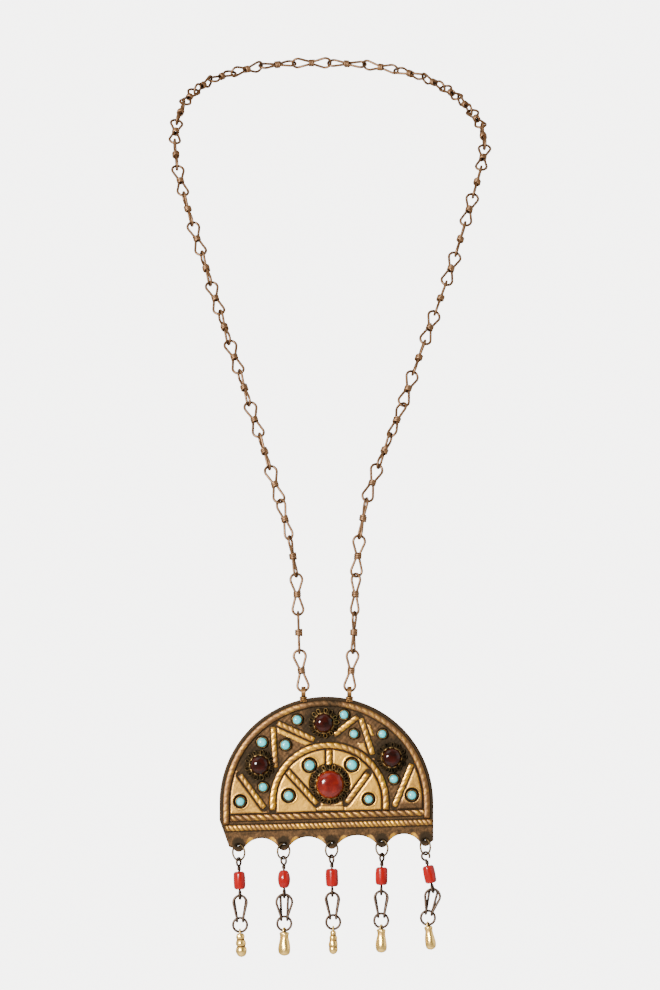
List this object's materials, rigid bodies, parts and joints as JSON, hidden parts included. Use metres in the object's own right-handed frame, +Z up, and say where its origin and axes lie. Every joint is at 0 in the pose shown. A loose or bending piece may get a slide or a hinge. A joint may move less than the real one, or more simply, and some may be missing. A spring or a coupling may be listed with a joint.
{
  "type": "fringe pendant necklace",
  "caption": "Long twisted-link chain with a half-round brass pendant set with cabochons and a fringe of coral beads and brass drops.",
  "frame": {"origin": "the middle of the chain at the nape, where the necklace hangs when it is worn", "axes": "+Z up, +X the viewer's right when the pendant is seen from the front, +Y towards the wearer's back"},
  "size_m": [0.1417, 0.1983, 0.3905],
  "materials": {
    "chain_brass": "antiqued coppery brass wire, rubbed bright on the crowns",
    "plate_brass": "antiqued brass sheet with applied twisted wire, dark in the recesses",
    "carnelian": "polished deep red-orange cabochon",
    "dark_stone": "polished near-black maroon cabochon",
    "turquoise": "polished pale turquoise cabochon",
    "ring_brass": "polished yellow brass wire",
    "dark_wire": "blackened brass wire",
    "coral": "polished coral red",
    "drop_brass": "cast yellow brass, softly polished"
  },
  "bodies": {
    "chain": {"chain_left": "chain_brass", "chain_right": "chain_brass"},
    "pendant": {"brass_drop_1": "drop_brass", "brass_drop_2": "drop_brass", "brass_drop_3": "drop_brass", "brass_drop_4": "drop_brass", "brass_drop_5": "drop_brass", "centre_stone": "carnelian", "coral_bead_1": "coral", "coral_bead_2": "coral", "coral_bead_3": "coral", "coral_bead_4": "coral", "coral_bead_5": "coral", "dark_stone_1": "dark_stone", "dark_stone_2": "dark_stone", "dark_stone_3": "dark_stone", "eye_wire_1": "dark_wire", "eye_wire_2": "dark_wire", "eye_wire_3": "dark_wire", "eye_wire_4": "dark_wire", "eye_wire_5": "dark_wire", "folded_link_1": "dark_wire", "folded_link_2": "dark_wire", "folded_link_3": "dark_wire", "folded_link_4": "dark_wire", "folded_link_5": "dark_wire", "jump_ring_1": "dark_wire", "jump_ring_2": "dark_wire", "jump_ring_3": "dark_wire", "jump_ring_4": "dark_wire", "jump_ring_5": "dark_wire", "pendant_plate": "plate_brass", "top_ring_1": "ring_brass", "top_ring_2": "ring_brass", "top_ring_3": "ring_brass", "top_ring_4": "ring_brass", "top_ring_5": "ring_brass", "turquoise_01": "turquoise", "turquoise_02": "turquoise", "turquoise_03": "turquoise", "turquoise_04": "turquoise", "turquoise_05": "turquoise", "turquoise_06": "turquoise", "turquoise_07": "turquoise", "turquoise_08": "turquoise", "turquoise_09": "turquoise", "turquoise_10": "turquoise", "turquoise_11": "turquoise", "turquoise_12": "turquoise", "turquoise_13": "turquoise", "turquoise_14": "turquoise"}
  },
  "joints": [
    {"name": "pendant_swing", "type": "hinge", "parent": "chain", "child": "pendant", "pos_m": [0, -0.1895, -0.276], "axis": [1, 0, 0], "range_deg": [-75, 40]}
  ]
}
